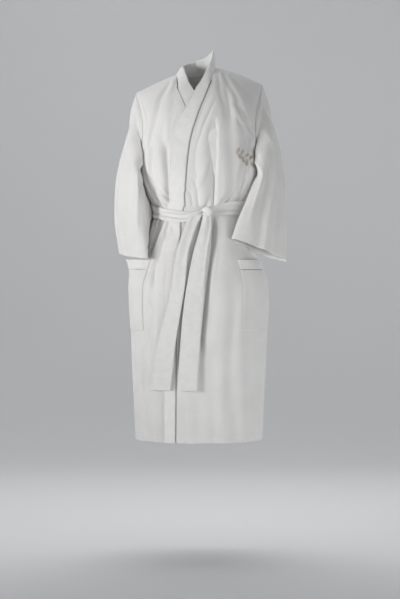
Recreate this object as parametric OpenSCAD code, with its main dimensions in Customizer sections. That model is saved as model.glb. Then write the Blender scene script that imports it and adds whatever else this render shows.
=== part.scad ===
// Kimono-style bathrobe, closed and belted, in the shape it takes on a standing body.
// Origin: centre of the neck at the height of the shoulders. +Z up, front towards -Y, wearer's left at +X.

/* [Body] */
// Length from the shoulders to the hem
robe_length = 1205; // [1150:5:1260]
// Width across the shoulder tips
shoulder_width = 408; // [396:2:420]
// Width at the chest
chest_width = 390; // [380:2:400]
// Width at the belt
waist_width = 292; // [284:2:310]
// Width at the hips
hip_width = 452; // [440:2:460]
// Width at the hem
hem_width = 412; // [400:2:430]
// Depth, front to back, at the chest
chest_depth = 260; // [250:2:270]
// Depth at the belt
waist_depth = 224; // [214:2:234]
// Depth at the hips and the hem
hip_depth = 300; // [290:2:310]
// Thickness of one layer of cloth
cloth = 3; // [2:0.5:3.5]

/* [Front bands] */
// Thickness of a doubled front band
band_thick = 4.4; // [3.5:0.1:5]
// Radius of the piping cord in the band seams
piping_r = 1.4; // [1:0.1:1.6]

/* [Belt] */
// Width of the belt laid flat
belt_width = 58; // [48:1:62]
// Thickness of the doubled belt
belt_thick = 4; // [3:0.5:5]
// Length of the hanging tails below the knot
tail_length = 560; // [500:5:600]
// Width of a tail at its free end
tail_width = 62; // [50:1:64]

/* [Pockets] */
// Depth of a pocket, its band included
pocket_height = 228; // [190:2:240]
// Height of the band along the pocket mouth
pocket_band = 32; // [20:1:40]
// How far the mouth of the left pocket stands open
left_gape = 16; // [12:1:18]
// How far the mouth of the right pocket stands open
right_gape = 46; // [36:1:50]

/* [Neck] */
// Drop of the hanger loop
loop_drop = 34; // [28:1:36]
// Width of the hanger loop
loop_width = 60; // [60:1:80]

/* [Hidden] */

fabric = [0.9, 0.89, 0.88];
piping_colour = [0.42, 0.41, 0.4];
thread = [0.72, 0.64, 0.54];

gap = 0.5;              // free space kept between neighbouring pieces
over_layer = 6;         // how far the left front lies outside the right front
waist_drop = 461;       // shoulders to the middle of the belt
armhole_drop = 295;     // shoulders to the armpit
roundness = 2.3;        // exponent of the body's cross-section
shoulder_round = 200;   // drop over which the shoulders reach their full depth

// Half width and half depth of the body by drop below the shoulders
half_width_rows = [
    [0, shoulder_width / 2], [150, shoulder_width / 2 - 4], [300, chest_width / 2 + 2],
    [350, chest_width / 2 - 2], [400, chest_width / 2 - 22], [waist_drop, waist_width / 2],
    [510, waist_width / 2 + 14], [590, hip_width / 2 - 44], [650, hip_width / 2 - 18],
    [710, hip_width / 2],
    [900, (hip_width + hem_width) / 4 + 3], [robe_length, hem_width / 2]
];
half_depth_rows = [
    [0, chest_depth / 2 - 12], [180, chest_depth / 2 - 4], [330, chest_depth / 2],
    [waist_drop, waist_depth / 2], [560, hip_depth / 2 - 20], [700, hip_depth / 2 - 3],
    [robe_length, hip_depth / 2 + 2]
];
// Height of the shoulder line by x: the robe hangs a little lower on the wearer's right
shoulder_rows = [[-204, -67], [-75, -10], [-10, 2], [55, 13], [130, -8], [204, -40]];

// Where the front bands are sewn to the fronts: x by drop
left_seam_rows = [
    [0, 55], [49, 39], [98, 20], [157, -6], [221, -26], [286, -36], [351, -42],
    [452, -49], [510, -58], [741, -70], [robe_length, -74]
];
right_seam_rows = [
    [0, -77], [41, -75], [80, -60], [117, -45], [200, -5], [280, 25], [360, 45],
    [452, 52], [510, 60], [741, 70], [robe_length, 74]
];
// The bands' free edges: x by drop, from the collar down
left_edge_rows = [
    [52, -16], [124, -42], [172, -72], [254, -85], [351, -94], [436, -99],
    [741, -108], [robe_length, -112]
];
right_edge_rows = [
    [52, -16], [110, 16], [165, 46], [240, 73], [340, 90], [436, 99],
    [741, 108], [robe_length, 112]
];
// How far round each armhole edge lies, in degrees from the middle of the front or back
armhole_rows = [[0, 90], [40, 74], [100, 65], [170, 62], [235, 66], [270, 76], [armhole_drop, 90]];

// Sleeves: the top and the underside of each, from the armhole to the cuff, and half their thickness
left_sleeve_top = [
    [205, 0, -41], [223, 0, -112], [241, -3, -190], [263, -8, -275],
    [277, -18, -365], [283, -31, -480], [283, -45, -622]
];
left_sleeve_under = [
    [201, 0, -295], [214, -34, -316], [206, -78, -352], [178, -104, -398],
    [150, -117, -444], [125, -130, -492], [102, -143, -549]
];
left_sleeve_half = [60, 46, 31, 27, 26, 25, 24];
right_sleeve_top = [
    [-205, 0, -68], [-216, 0, -142], [-230, -2, -215], [-252, -5, -292],
    [-267, -8, -385], [-272, -12, -482], [-262, -20, -588]
];
right_sleeve_under = [
    [-201, 0, -295], [-213, -34, -316], [-213, -74, -358], [-200, -96, -416],
    [-189, -106, -480], [-180, -110, -545], [-174, -112, -598]
];
right_sleeve_half = [60, 46, 36, 34, 34, 34, 30];
armhole_gap = 1.8;      // free space between a sleeve's edge and the panels
sleeve_clear = 5;       // least distance of the rest of a sleeve from the body's surface

// Belt: height of its middle, and its width as a share of the flat width, round the waist
belt_height_rows = [
    [-180, -452], [-90, -455], [-35, -463], [-8, -470], [12, -459], [40, -449],
    [90, -450], [180, -452]
];
belt_share_rows = [
    [-180, 1], [-60, 1], [-20, 0.7], [0, 0.55], [20, 0.55], [40, 0.95], [60, 1], [180, 1]
];
belt_lift = 7;                    // inside of the belt outside the right front's surface
knot_at = [26, -146, -458];       // middle of the knot

// Belt tails: x of the middle and width by distance below the knot
left_tail_rows = [[0, 24], [40, 21], [120, 4], [240, -12], [400, -26], [tail_length, -37]];
right_tail_rows = [[0, -12], [40, -24], [120, -50], [240, -66], [400, -98], [tail_length, -119]];
left_tail_width_rows = [[0, 30], [60, 40], [180, 55], [300, tail_width], [tail_length, tail_width]];
right_tail_width_rows = [[0, 26], [60, 30], [200, 36], [320, 48], [420, 60], [tail_length, tail_width]];
tail_top = -489;

// Pockets: how far round the body each one reaches, in degrees from the middle of the front
left_pocket_span = [37, 82];
right_pocket_span = [50, 88];
pocket_drop = 617;

// ---------- helpers ----------

function clamp01(t) = min(1, max(0, t));
function smooth(t) = let (c = clamp01(t)) c * c * (3 - 2 * c);
function mix(a, b, t) = a + (b - a) * t;
function unit(v) = v / norm(v);
function steps(n) = [for (i = [0 : n]) i / n];

// Smooth curve through rows of [key, value], where a value is a number or a point
function row_at(rows, x) =
    min(len(rows) - 2, max(0, len([for (r = rows) if (r[0] <= x) 1]) - 1));
function slope(rows, i) =
    let (a = max(0, i - 1), b = min(len(rows) - 1, i + 1))
    (rows[b][1] - rows[a][1]) / (rows[b][0] - rows[a][0]);
function curve(rows, x) =
    let (
        i = row_at(rows, x),
        h = rows[i + 1][0] - rows[i][0],
        t = clamp01((x - rows[i][0]) / h)
    )
    rows[i][1] * (2 * t * t * t - 3 * t * t + 1) + slope(rows, i) * h * (t * t * t - 2 * t * t + t)
    + rows[i + 1][1] * (3 * t * t - 2 * t * t * t) + slope(rows, i + 1) * h * (t * t * t - t * t);

// Smooth curve through evenly spaced points, t from 0 to 1
function through(points, t) =
    curve([for (i = [0 : len(points) - 1]) [i, points[i]]], t * (len(points) - 1));

// ---------- the body's surface ----------

function half_width(drop) = curve(half_width_rows, drop);
function half_depth(drop) = curve(half_depth_rows, drop);

// Share of the full depth, which rounds the shoulders over
function fullness(drop) =
    let (c = 1 - clamp01(drop / shoulder_round)) pow(1 - c * c, 0.75);

// Angle round the body at which the surface has this x
function angle_at(x, drop) =
    let (c = max(-1, min(1, x / half_width(drop))), a = abs(c))
    sign(c) * atan2(a, pow(1 - pow(a, roundness), 1 / roundness));

// A point on the body: angle 0 is the middle of the front, 90 the wearer's left, 180 the back
function on_body(angle, drop) =
    let (
        s = sin(angle), c = cos(angle),
        r = pow(pow(abs(s), roundness) + pow(abs(c), roundness), 1 / roundness),
        x = half_width(drop) * s / r,
        lean = max(0, 1 - drop / 300)
    )
    [x, -half_depth(drop) * fullness(drop) * c / r, curve(shoulder_rows, x) * lean - drop];

function outward(angle, drop) =
    let (
        d = max(2, drop),
        along = on_body(angle + 1, d) - on_body(angle - 1, d),
        down = on_body(angle, d + 2) - on_body(angle, d - 2)
    )
    unit(cross(down, along));

// The same point moved outwards
function off_body(angle, drop, lift) = on_body(angle, drop) + outward(angle, drop) * lift;

// A point on the front with this x
function on_front(x, drop, lift) = off_body(angle_at(x, drop), drop, lift);

// The left front lies over the right one in the middle, and joins the back at the side
function left_lift(x, drop) =
    over_layer * smooth((drop - 15) / 70) * (1 - smooth((x - 108) / 62));

// ---------- solids from grids of points ----------

// Closed solid between two grids of the same size; grid[i][j], i to the right and j down seen from outside
module between(outer, inner, closed = false) {
    m = len(outer);
    n = len(outer[0]);
    last = closed ? m - 1 : m - 2;
    function p(i, j) = (i % m) * n + j;
    function q(i, j) = m * n + p(i, j);
    points = concat([for (col = outer, pt = col) pt], [for (col = inner, pt = col) pt]);
    faces = concat(
        [for (i = [0 : last], j = [0 : n - 2]) each [
            [p(i, j), p(i + 1, j), p(i + 1, j + 1)], [p(i, j), p(i + 1, j + 1), p(i, j + 1)],
            [q(i, j), q(i + 1, j + 1), q(i + 1, j)], [q(i, j), q(i, j + 1), q(i + 1, j + 1)]
        ]],
        [for (i = [0 : last]) each [
            [q(i, 0), q(i + 1, 0), p(i + 1, 0)], [q(i, 0), p(i + 1, 0), p(i, 0)],
            [p(i, n - 1), p(i + 1, n - 1), q(i + 1, n - 1)],
            [p(i, n - 1), q(i + 1, n - 1), q(i, n - 1)]
        ]],
        closed ? [] : [for (j = [0 : n - 2]) each [
            [p(0, j), p(0, j + 1), q(0, j + 1)], [p(0, j), q(0, j + 1), q(0, j)],
            [p(m - 1, j + 1), p(m - 1, j), q(m - 1, j)],
            [p(m - 1, j + 1), q(m - 1, j), q(m - 1, j + 1)]
        ]]
    );
    polyhedron(points, faces, convexity = 8);
}

// Round cord along a path of points
module cord(path, r, sides = 6) {
    n = len(path);
    function side(t) = unit(cross(t, [0.31, 0.9, 0.3]));
    rings = [for (i = [0 : n - 1])
        let (
            t = unit(path[min(n - 1, i + 1)] - path[max(0, i - 1)]),
            u = side(t), v = cross(t, u)
        )
        [for (k = [0 : sides - 1]) path[i] + (u * cos(360 * k / sides) + v * sin(360 * k / sides)) * r]
    ];
    faces = concat(
        [for (i = [0 : n - 2], k = [0 : sides - 1]) each let (l = (k + 1) % sides) [
            [i * sides + k, (i + 1) * sides + l, i * sides + l],
            [i * sides + k, (i + 1) * sides + k, (i + 1) * sides + l]
        ]],
        [[for (k = [0 : sides - 1]) k]],
        [[for (k = [sides - 1 : -1 : 0]) (n - 1) * sides + k]]
    );
    polyhedron([for (ring = rings, pt = ring) pt], faces, convexity = 8);
}

// ---------- panels ----------

panel_drops = [
    0, 12, 30, 60, 100, 150, 200, 245, 275, armhole_drop, 330, 370, 410, 440, waist_drop,
    485, 520, 580, 650, 720, 800, 900, 1000, 1100, robe_length
];
seam_clear = piping_r + 0.8;

function armhole(drop) = drop >= armhole_drop ? 90 : curve(armhole_rows, drop);

// Columns across one front, from the wearer's right to left
function front_grid(from_angle, to_angle, lift) = [
    for (u = steps(10)) [
        for (d = panel_drops)
            let (angle = mix(from_angle(d), to_angle(d), u), x = on_body(angle, d)[0])
            off_body(angle, d, lift(x, d)) - [0, 0.4, 0]
    ]
];

module left_front_panel() {
    inner_edge = function (d) angle_at(curve(left_seam_rows, d) + seam_clear, d);
    side = function (d) armhole(d) - 0.2;
    color(fabric)
    between(
        front_grid(inner_edge, side, function (x, d) left_lift(x, d) + cloth),
        front_grid(inner_edge, side, function (x, d) left_lift(x, d))
    );
}

module right_front_panel() {
    inner_edge = function (d) angle_at(curve(right_seam_rows, d) - seam_clear, d);
    side = function (d) 0.2 - armhole(d);
    color(fabric)
    between(
        front_grid(side, inner_edge, function (x, d) cloth),
        front_grid(side, inner_edge, function (x, d) 0)
    );
}

// The back reaches round the neck: its upper edge is half an ellipse between the shoulders
neck_middle = -10;
neck_half = 65;
neck_behind = 62;       // how far the middle of that edge lies behind the shoulders
neck_settles = 110;     // drop over which the back meets the body's plain surface
neck_cut = 18;          // how far that edge is cut down below the shoulders

function back_point(angle, d) =
    let (
        share = clamp01(1 - pow((on_body(angle, 0)[0] - neck_middle) / neck_half, 2)),
        settled = smooth(d / neck_settles),
        e = d + neck_cut * pow(share, 0.35) * (1 - settled),
        base = on_body(angle, e),
        top = [base[0], neck_behind * sqrt(share) + 0.4 * e, base[2]]
    )
    mix(top[1] > base[1] ? top : base, base, settled);

function back_grid(lift) = [
    for (u = steps(22)) [
        for (d = panel_drops)
            let (
                angle = mix(180 - armhole(d), 180 + armhole(d), u) + mix(0.2, -0.2, u),
                a = back_point(angle, d),
                across = back_point(angle - 1, d) - back_point(angle + 1, d),
                down = back_point(angle, d + 2) - back_point(angle, max(0, d - 2))
            )
            a + unit(cross(across, down)) * lift + [0, 0.4, 0]
    ]
];

module back_panel() {
    color(fabric) between(back_grid(cloth), back_grid(0));
}

// ---------- front bands and their piping ----------

band_drops = [
    60, 85, 112, 145, 180, 220, 265, 310, 360, 410, waist_drop,
    500, 560, 640, 740, 860, 1000, 1100, robe_length
];

// Round the neck, each band's seam and free edge are given from the middle of the back
left_neck_seam = [
    [-9, 66, -10], [26, 57, -2], [48, 30, 10], [54, 2, 16], [49, -27, -4], [41, -55, -28]
];
left_neck_edge = [
    [-9, 60, 44], [22, 52, 54], [42, 28, 63], [48, 0, 64], [38, -30, 42], [16, -52, 6]
];
right_neck_seam = [
    [-11, 66, -11], [-50, 54, -14], [-71, 30, -12], [-77, 2, -9], [-75, -26, -28], [-71, -46, -44]
];
right_neck_edge = [
    [-11, 60, 43], [-36, 50, 36], [-50, 24, 26], [-53, 0, 20], [-46, -26, 2], [-32, -46, -22]
];

// The free edge of a band runs ahead of its seam where the band slants across the chest
function ahead(d) = 20 * (1 - smooth((d - 110) / 250));

function band_side(neck, rows, lift, toward, early) = concat(
    [for (t = steps(10)) through(neck, t)],
    [for (d = band_drops)
        let (at = d - early * ahead(d))
        on_front(curve(rows, at) + toward, at, lift * smooth((at + 30) / 90))]
);

// The band's face, from one long edge to the other
function band_grid(from, to, lift) = [
    for (u = [0, 0.5, 1]) [
        for (i = [0 : len(from) - 1])
            let (
                a = max(0, i - 1), b = min(len(from) - 1, i + 1),
                n = unit(cross(from[b] - from[a], to[i] - from[i]))
            )
            mix(from[i], to[i], u) + n * lift
    ]
];

module band(from, to) {
    color(fabric) between(band_grid(from, to, band_thick / 2), band_grid(from, to, -band_thick / 2));
}

module left_front_band() {
    lift = over_layer + band_thick / 2;
    band(
        band_side(left_neck_edge, left_edge_rows, lift, 0, 1),
        band_side(left_neck_seam, left_seam_rows, lift, -seam_clear, 0)
    );
}

module right_front_band() {
    lift = band_thick / 2;
    band(
        band_side(right_neck_seam, right_seam_rows, lift, seam_clear, 0),
        band_side(right_neck_edge, right_edge_rows, lift, 0, 1)
    );
}

function piping_path(rows, lift) = [
    for (d = band_drops) on_front(curve(rows, d), d, lift)
];

module left_band_piping() {
    color(piping_colour) cord(piping_path(left_seam_rows, over_layer + cloth - piping_r + 0.4), piping_r);
}

module right_band_piping() {
    color(piping_colour) cord(piping_path(right_seam_rows, cloth - piping_r + 0.4), piping_r);
}

// ---------- sleeves ----------

// Drops of the points round an armhole: down its front edge and up its back edge
front_drops = [for (d = panel_drops) if (d <= armhole_drop) d];
ring_size = 2 * len(front_drops) - 2;
function ring_drop(k) = front_drops[min(k, ring_size - k)];
function ring_turn(k) =
    let (t = acos(1 - 2 * ring_drop(k) / armhole_drop))
    k < len(front_drops) ? t : 360 - t;

// The edge of an armhole, on the wearer's left (side 1) or right (side -1)
function armhole_point(k, side, lift) =
    let (
        drop = ring_drop(k),
        reach = armhole(drop),
        angle = k < len(front_drops) ? side * reach : side * (180 - reach)
    )
    off_body(angle, drop, lift) + [side * armhole_gap, 0, 0];

// A point of a sleeve moved out sideways until it is clear of the body by this much
function clear_of_body(p, side, by) =
    let (
        rise = curve(shoulder_rows, p[0]),
        drop = max(0, -p[2] > 300 ? -p[2] : (rise - p[2]) / (1 + rise / 300)),
        deep = half_depth(drop) * fullness(drop) + by,
        share = min(1, abs(p[1]) / deep),
        least = half_width(drop) * pow(1 - pow(share, roundness), 1 / roundness) + by
    )
    [side * max(side * p[0], least), p[1], p[2]];

// One ring of a sleeve, at t from the armhole (0) to the cuff (1)
function sleeve_ring(top, under, half, side, t) =
    let (
        a = through(top, t), b = through(under, t),
        ahead = min(1, t + 0.05), behind = max(0, t - 0.05),
        along = through(top, ahead) + through(under, ahead) - through(top, behind) - through(under, behind),
        front = unit(cross(a - b, along)) * -side,
        fade = smooth(t * 4.5)
    )
    [for (k = [0 : ring_size - 1])
        let (turn = ring_turn(k))
        let (
            oval = (a + b) / 2 + (a - b) / 2 * cos(turn) + front * through(half, t) * sin(turn),
            point = mix(armhole_point(k, side, cloth), oval, fade)
        )
        t > 0 && t < 0.45 ? clear_of_body(point, side, sleeve_clear) : point
    ];

// The same surface, one cloth thickness further in
function inner_side(rings, side) = [
    for (i = [0 : len(rings) - 1]) [
        for (k = [0 : ring_size - 1])
            let (
                down = rings[min(len(rings) - 1, i + 1)][k] - rings[max(0, i - 1)][k],
                round = rings[i][(k + 1) % ring_size] - rings[i][(k + ring_size - 1) % ring_size]
            )
            i == 0 ? armhole_point(k, side, 0) : rings[i][k] + unit(cross(round, down)) * -side * cloth
    ]
];

module sleeve(top, under, half, side) {
    outer = [for (t = steps(14)) sleeve_ring(top, under, half, side, t)];
    inner = inner_side(outer, side);
    order = side > 0 ? [ring_size - 1 : -1 : 0] : [0 : ring_size - 1];
    color(fabric)
    between(
        [for (k = order) [for (ring = outer) ring[k]]],
        [for (k = order) [for (ring = inner) ring[k]]],
        closed = true
    );
}

module left_sleeve() sleeve(left_sleeve_top, left_sleeve_under, left_sleeve_half, 1);

module right_sleeve() sleeve(right_sleeve_top, right_sleeve_under, right_sleeve_half, -1);

// ---------- pockets ----------

// A patch on the front, sewn at its sides and foot and open at its mouth
// Its gape is widest in the middle of the mouth where skew is 1, and nearer its outer edge where skew is 2
function pocket_point(angle, u, v, gape, skew, lift) =
    let (
        drop = pocket_drop + pocket_height * v,
        n = outward(angle, drop),
        layer = angle > 0 ? left_lift(on_body(angle, drop)[0], drop) : 0,
        open = gape * pow(1 - v, 1.6) * sin(180 * pow(u, skew))
    )
    on_body(angle, drop) + n * (cloth + gap + lift + layer) + unit([n[0], n[1], 0]) * open;

function pocket_grid(side, span, gape, skew, from_v, to_v, lift) = [
    for (u = side > 0 ? steps(10) : [for (s = steps(10)) 1 - s]) [
        for (v = [for (s = steps(5)) mix(from_v, to_v, s)])
            pocket_point(side * mix(span[0], span[1], u), u, v, gape, skew, lift)
    ]
];

module pocket_part(side, span, gape, skew, from_v, to_v) {
    color(fabric)
    between(
        pocket_grid(side, span, gape, skew, from_v, to_v, cloth),
        pocket_grid(side, span, gape, skew, from_v, to_v, 0)
    );
}

module left_pocket_part(from_v, to_v) pocket_part(1, left_pocket_span, left_gape, 1, from_v, to_v);
module right_pocket_part(from_v, to_v) pocket_part(-1, right_pocket_span, right_gape, 2, from_v, to_v);

band_share = pocket_band / pocket_height;
below_band = band_share + gap / pocket_height;

module left_pocket() left_pocket_part(below_band, 1);
module right_pocket() right_pocket_part(below_band, 1);
module left_pocket_band() left_pocket_part(0, band_share);
module right_pocket_band() right_pocket_part(0, band_share);

// ---------- belt ----------

function belt_grid(lift) = [
    for (k = [0 : 47])
        let (
            angle = k * 7.5 - 180,
            middle = curve(belt_height_rows, angle),
            half = belt_width / 2 * curve(belt_share_rows, angle),
            base = belt_lift + (abs(angle) < 75 ? over_layer * smooth((75 - abs(angle)) / 25) : 0)
        )
        [for (v = [1, 0, -1]) off_body(angle, -middle - v * half, base + lift)]
];

module belt_waist() {
    color(fabric) between(belt_grid(belt_thick), belt_grid(0), closed = true);
}

// A flat knot: one turn of the belt pulled tight over the other
module belt_knot() {
    color(fabric)
    translate(knot_at)
    hull() {
        for (s = [-1, 1]) {
            translate([s * 11, 2, s * 7]) sphere(r = 8, $fn = 20);
            translate([s * 9, 0, -s * 9]) sphere(r = 9, $fn = 20);
        }
        translate([0, -5, 0]) sphere(r = 11, $fn = 20);
    }
}

function tail_grid(rows, width_rows, lift) = [
    for (u = [-0.5, -0.25, 0, 0.25, 0.5]) [
        for (t = steps(12))
            let (d = tail_length * t, x = curve(rows, d) + u * curve(width_rows, d))
            on_front(x, d - tail_top, over_layer + cloth + 4 + lift)
    ]
];

module tail(rows, width_rows) {
    color(fabric) between(tail_grid(rows, width_rows, belt_thick), tail_grid(rows, width_rows, 0));
}

module belt_left_tail() tail(left_tail_rows, left_tail_width_rows);
module belt_right_tail() tail(right_tail_rows, right_tail_width_rows);

// A narrow strip sewn to the side seam above and below the belt
loop_strip_thick = 1.8;

function belt_loop_path(side, extra) = [
    for (t = steps(16))
        let (
            z = (2 * t - 1) * (belt_width / 2 + 8),
            middle = curve(belt_height_rows, side * 90),
            clear = cloth + 1.2,
            out = mix(clear, belt_lift + belt_thick + 2.2, smooth((1 - abs(2 * t - 1)) * 7))
        )
        [side * (half_width(-middle - z) + out + extra), z + middle]
];

module belt_loop(side) {
    inner = belt_loop_path(side, 0);
    outer = belt_loop_path(side, loop_strip_thick);
    color(fabric)
    translate([0, 5, 0])
    rotate([90, 0, 0])
    linear_extrude(10)
    polygon(concat(outer, [for (i = [len(inner) - 1 : -1 : 0]) inner[i]]));
}

module left_belt_loop() belt_loop(1);
module right_belt_loop() belt_loop(-1);

// ---------- neck ----------

loop_seat = [-10, 50, -14];     // where the loop's ends are sewn, inside the back of the neck
loop_strip = 7;
loop_thick = 2;

loop_corner = 12;       // outer radius of its lower corners

// The outline of the U, drawn in by an inset
module loop_outline(inset) {
    hull() {
        translate([inset - loop_width / 2, inset - 4]) square([loop_width - 2 * inset, 4]);
        for (s = [-1, 1])
            translate([s * (loop_width / 2 - loop_corner), loop_corner - loop_drop])
                circle(r = loop_corner - inset, $fn = 32);
    }
}

// A flat strip bent into a U, hanging from its sewn ends
module hanger_loop() {
    color(fabric)
    translate(loop_seat)
    rotate([90, 0, 0])
    translate([0, 0, -loop_thick / 2])
    linear_extrude(loop_thick)
    difference() {
        loop_outline(0);
        loop_outline(loop_strip);
    }
}

label_size = [42, 1, 28];
label_top = [-10, 76, -56];     // middle of the label's sewn upper edge, on the inside of the back

module care_label() {
    color("white")
    translate(label_top + [-label_size[0] / 2, -label_size[1] / 2, -label_size[2]])
    cube(label_size);
}

// ---------- embroidery ----------

leaf = [15, 6];         // length and width of one embroidered leaf
stitch = 0.8;           // height of the thread above the cloth

// A leaf outline: two arcs that meet in points
module leaf_outline() {
    r = (leaf[0] * leaf[0] / 4 + leaf[1] * leaf[1] / 4) / leaf[1];
    intersection_for (s = [-1, 1])
        translate([leaf[0] / 2, s * (r - leaf[1] / 2)]) circle(r = r, $fn = 60);
}

// Sprig of leaves in pairs along a slanting stem; each is [x, drop, direction]
sprig = [
    [136, 258, 60], [140, 270, -120], [150, 266, 40], [154, 280, -140],
    [164, 276, 20], [168, 290, -100], [177, 290, -30]
];

module chest_embroidery() {
    color(thread)
    for (s = sprig)
        let (
            n = outward(angle_at(s[0], s[1]), s[1]),
            turn = atan2(n[0], -n[1])
        )
        translate(on_front(s[0], s[1], left_lift(s[0], s[1]) + cloth + 1.6))
        rotate([0, 0, turn])
        rotate([90, 0, 0])
        rotate([0, 0, s[2]])
        linear_extrude(stitch)
        leaf_outline();
}

// ---------- output ----------

back_panel();
right_front_panel();
left_front_panel();
right_front_band();
left_front_band();
right_band_piping();
left_band_piping();
right_sleeve();
left_sleeve();
right_pocket();
left_pocket();
right_pocket_band();
left_pocket_band();
right_belt_loop();
left_belt_loop();
belt_waist();
belt_knot();
belt_right_tail();
belt_left_tail();
hanger_loop();
care_label();
chest_embroidery();
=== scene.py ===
"""A white kimono bathrobe with grey piping, wrapped left over right and tied with its belt; the piping's
grey is partly painted shade of its seams.

The cloth is draped here. A closed tube of cloth, cut wider than the body, is relaxed round the body's
shape until it hangs in folds, and every panel, band and pocket is then laid on that draped surface.
Lengths are in millimetres until a mesh is made, and an angle round the body is in degrees:
0 is the middle of the front, 90 the wearer's left, 180 the middle of the back.
"""

import math

import bmesh
import bpy
import numpy as np
from mathutils import Matrix, Vector


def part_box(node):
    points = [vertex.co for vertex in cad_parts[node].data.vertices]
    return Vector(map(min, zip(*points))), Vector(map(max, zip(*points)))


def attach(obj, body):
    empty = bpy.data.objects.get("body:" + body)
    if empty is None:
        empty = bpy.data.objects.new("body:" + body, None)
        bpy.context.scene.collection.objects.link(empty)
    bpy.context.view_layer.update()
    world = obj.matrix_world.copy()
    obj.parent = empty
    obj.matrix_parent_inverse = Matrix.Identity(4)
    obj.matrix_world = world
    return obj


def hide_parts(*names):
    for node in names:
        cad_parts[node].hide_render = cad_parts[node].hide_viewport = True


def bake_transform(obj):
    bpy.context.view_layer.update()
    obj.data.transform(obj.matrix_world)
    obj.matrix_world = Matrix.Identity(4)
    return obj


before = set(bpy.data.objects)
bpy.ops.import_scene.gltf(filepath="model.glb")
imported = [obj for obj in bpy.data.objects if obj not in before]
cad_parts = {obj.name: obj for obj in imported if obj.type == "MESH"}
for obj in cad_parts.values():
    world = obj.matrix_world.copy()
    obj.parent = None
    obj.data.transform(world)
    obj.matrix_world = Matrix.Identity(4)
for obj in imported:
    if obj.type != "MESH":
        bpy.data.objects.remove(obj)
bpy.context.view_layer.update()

MM = 0.001
SEED = 7

# ---- camera, floor and light

FLOOR_Z = -1.58  # below the hem, as if the robe were worn by someone standing
FLOOR_HALF, FLOOR_BACK = 9.0, 2.2
BEND_RADIUS, BEND_STEPS, BACKDROP_TOP = 1.4, 10, 7.0  # the top is counted from the floor
FLOOR_COLOUR = (0.88, 0.885, 0.895, 1)
CAMERA_AT, CAMERA_AIM, CAMERA_LENS = (0.003, -5.0, -0.648), (0.003, 0.0, -0.747), 91.2
# Name, place, what it faces, size, watts, colour and spread of each area light
LIGHTS = [
    ("key", (-3.2, -2.2, -0.2), (0, 0, -0.26), (1.0, 1.2), 8.5, (1.0, 0.995, 0.99), 50),
    ("fill", (1.8, -4.0, -1.3), (0.1, 0, -0.75), (1.8, 1.0), 36, (1.0, 1.0, 1.0), 180),
    ("low", (3.0, -2.4, -1.35), (0.15, 0, -1.05), (0.8, 0.8), 3.0, (1.0, 1.0, 1.0), 50),
    ("high", (-2.6, -0.7, 1.0), (0, 0, -0.7), (0.5, 0.5), 2, (1.0, 1.0, 1.0), 180),
    ("floor", (0, 1.2, 0.9), (0, -0.2, FLOOR_Z), (5.0, 1.6), 17.5, (1.0, 1.0, 1.0), 130),
    ("backdrop", (-0.6, 0.9, 1.6), (-0.6, 3.4, -0.9), (4.0, 0.6), 27, (0.98, 0.99, 1.0), 180),
]
AMBIENT, AMBIENT_COLOUR = 0.19, (0.97, 0.985, 1.0, 1)


def add_object(name, data):
    thing = bpy.data.objects.new(name, data)
    bpy.context.collection.objects.link(thing)
    return thing


def mesh_object(name, verts, faces, smooth_faces=True):
    """A mesh of these vertices, in metres, and faces."""
    data = bpy.data.meshes.new(name)
    data.from_pydata(verts, [], faces)
    data.polygons.foreach_set("use_smooth", [smooth_faces] * len(faces))
    return add_object(name, data)


def place(thing, at, aim):
    thing.location = at
    thing.rotation_mode = "QUATERNION"
    thing.rotation_quaternion = (Vector(aim) - Vector(at)).to_track_quat("-Z", "Y")


def make_camera():
    data = bpy.data.cameras.new("camera")
    data.lens = CAMERA_LENS
    camera = add_object("camera", data)
    place(camera, CAMERA_AT, CAMERA_AIM)
    bpy.context.scene.camera = camera


def make_lights():
    for name, at, aim, size, power, colour, spread in LIGHTS:
        data = bpy.data.lights.new(name, "AREA")
        data.shape = "RECTANGLE"
        data.size, data.size_y = size
        data.energy = power
        data.color = colour
        data.spread = math.radians(spread)
        place(add_object(name, data), at, aim)
    world = bpy.data.worlds.new("world")
    world.use_nodes = True
    background = world.node_tree.nodes["Background"].inputs
    background["Color"].default_value = AMBIENT_COLOUR
    background["Strength"].default_value = AMBIENT
    bpy.context.scene.world = world
    bpy.context.scene.view_settings.view_transform = "Standard"


def make_floor():
    """A pale floor that curves up into a backdrop behind the robe, clear when seen from behind."""
    profile = [(-FLOOR_HALF, 0.0), (FLOOR_BACK, 0.0)]
    for i in range(1, BEND_STEPS + 1):
        a = math.radians(90 * i / BEND_STEPS)
        profile.append((FLOOR_BACK + BEND_RADIUS * math.sin(a), BEND_RADIUS * (1 - math.cos(a))))
    profile.append((FLOOR_BACK + BEND_RADIUS, BACKDROP_TOP))
    n = len(profile)
    verts = [(x, y, FLOOR_Z + z) for x in (-FLOOR_HALF, FLOOR_HALF) for y, z in profile]
    floor = mesh_object("floor", verts, [(i, n + i, n + i + 1, i + 1) for i in range(n - 1)])
    look = Look("floor")
    look.put(look.main, {"Base Color": FLOOR_COLOUR, "Roughness": 0.9})
    behind = look.nodes.new("ShaderNodeNewGeometry").outputs["Backfacing"]
    clear = look.nodes.new("ShaderNodeBsdfTransparent").outputs["BSDF"]
    either = look.add("MixShader", {"Fac": behind, 1: look.main.outputs["BSDF"], 2: clear})
    look.put(look.nodes["Material Output"], {"Surface": either.outputs["Shader"]})
    floor.data.materials.append(look.material)


# ---- materials

WHITE = (0.80, 0.795, 0.785)
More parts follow.
